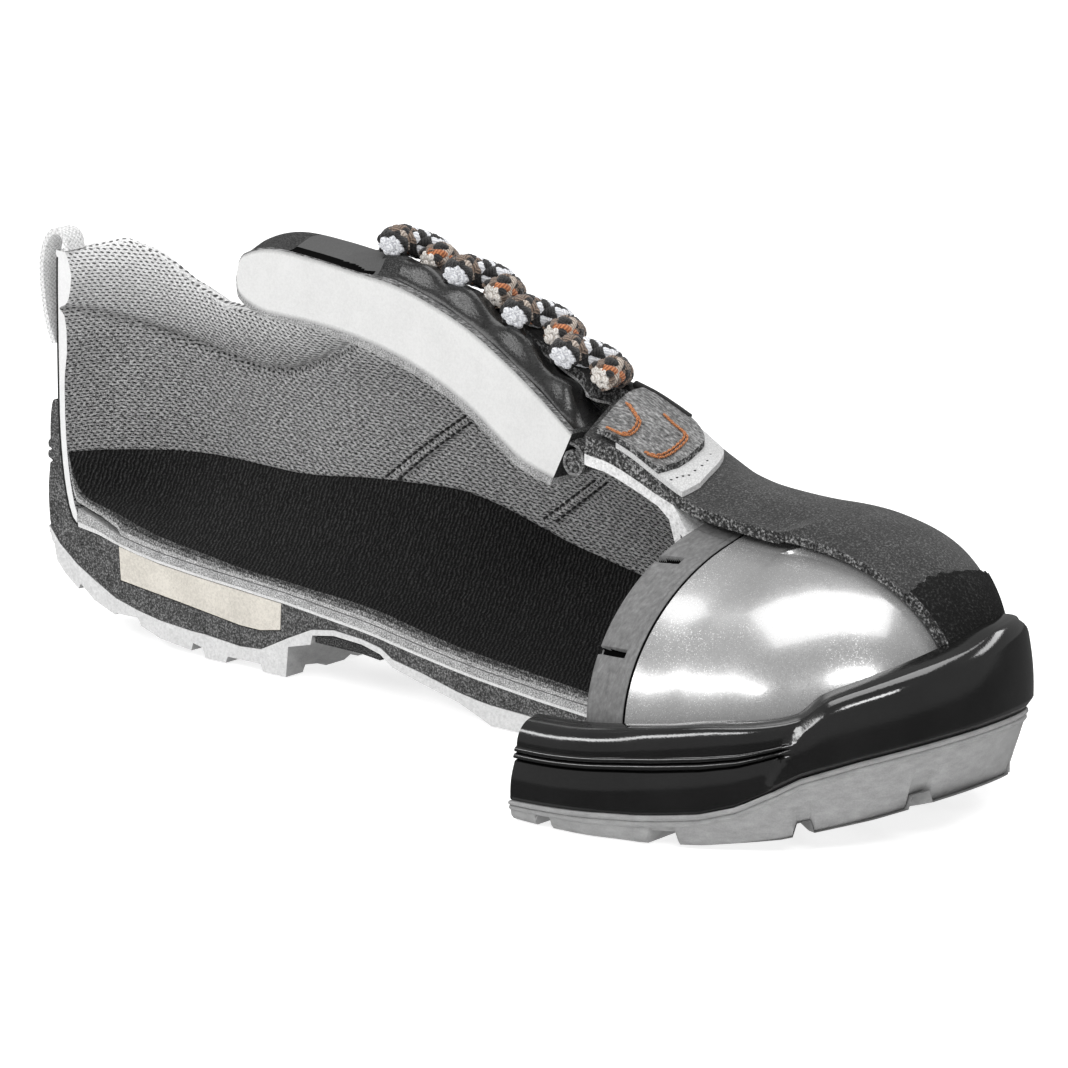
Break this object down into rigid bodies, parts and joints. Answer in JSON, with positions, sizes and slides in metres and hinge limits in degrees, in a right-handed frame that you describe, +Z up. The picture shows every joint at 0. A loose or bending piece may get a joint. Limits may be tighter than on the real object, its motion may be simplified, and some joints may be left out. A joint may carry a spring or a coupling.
{
  "type": "work shoe",
  "caption": "Right leather safety shoe cut open lengthwise: medial upper with mesh lining, padded tongue and laces, cupped insole, layered lugged sole and a bare steel toe cap.",
  "frame": {"origin": "on the floor under the middle of the shoe's box", "axes": "+X from heel to toe, +Y to the medial side, +Z up from the floor"},
  "size_m": [0.2919, 0.1094, 0.1146],
  "materials": {
    "outsole": "satin moulded rubber",
    "midsole": "glossy moulded foam skin",
    "insole_board": "matt fibre board",
    "insole": "matt ribbed textile on foam",
    "upper": "matt nubuck with a mesh lining",
    "toe_cap": "silver gloss paint",
    "toe_cap_strip": "matt",
    "heel_insert": "open foam",
    "arch_insert": "matt speckled",
    "tongue": "soft gloss leather over white foam",
    "pull_loop": "matt mesh tape",
    "lace": "braided cord",
    "eyelet": "black"
  },
  "bodies": {
    "root": {"outsole": "outsole", "midsole": "midsole", "insole_board": "insole_board", "insole": "insole", "upper": "upper", "toe_cap": "toe_cap", "toe_cap_strip": "toe_cap_strip", "heel_insert": "heel_insert", "arch_insert": "arch_insert", "tongue": "tongue", "pull_loop": "pull_loop", "lace_1": "lace", "lace_2": "lace", "lace_3": "lace", "lace_4": "lace", "eyelet_1": "eyelet", "eyelet_2": "eyelet", "eyelet_3": "eyelet", "eyelet_4": "eyelet"}
  },
  "joints": []
}
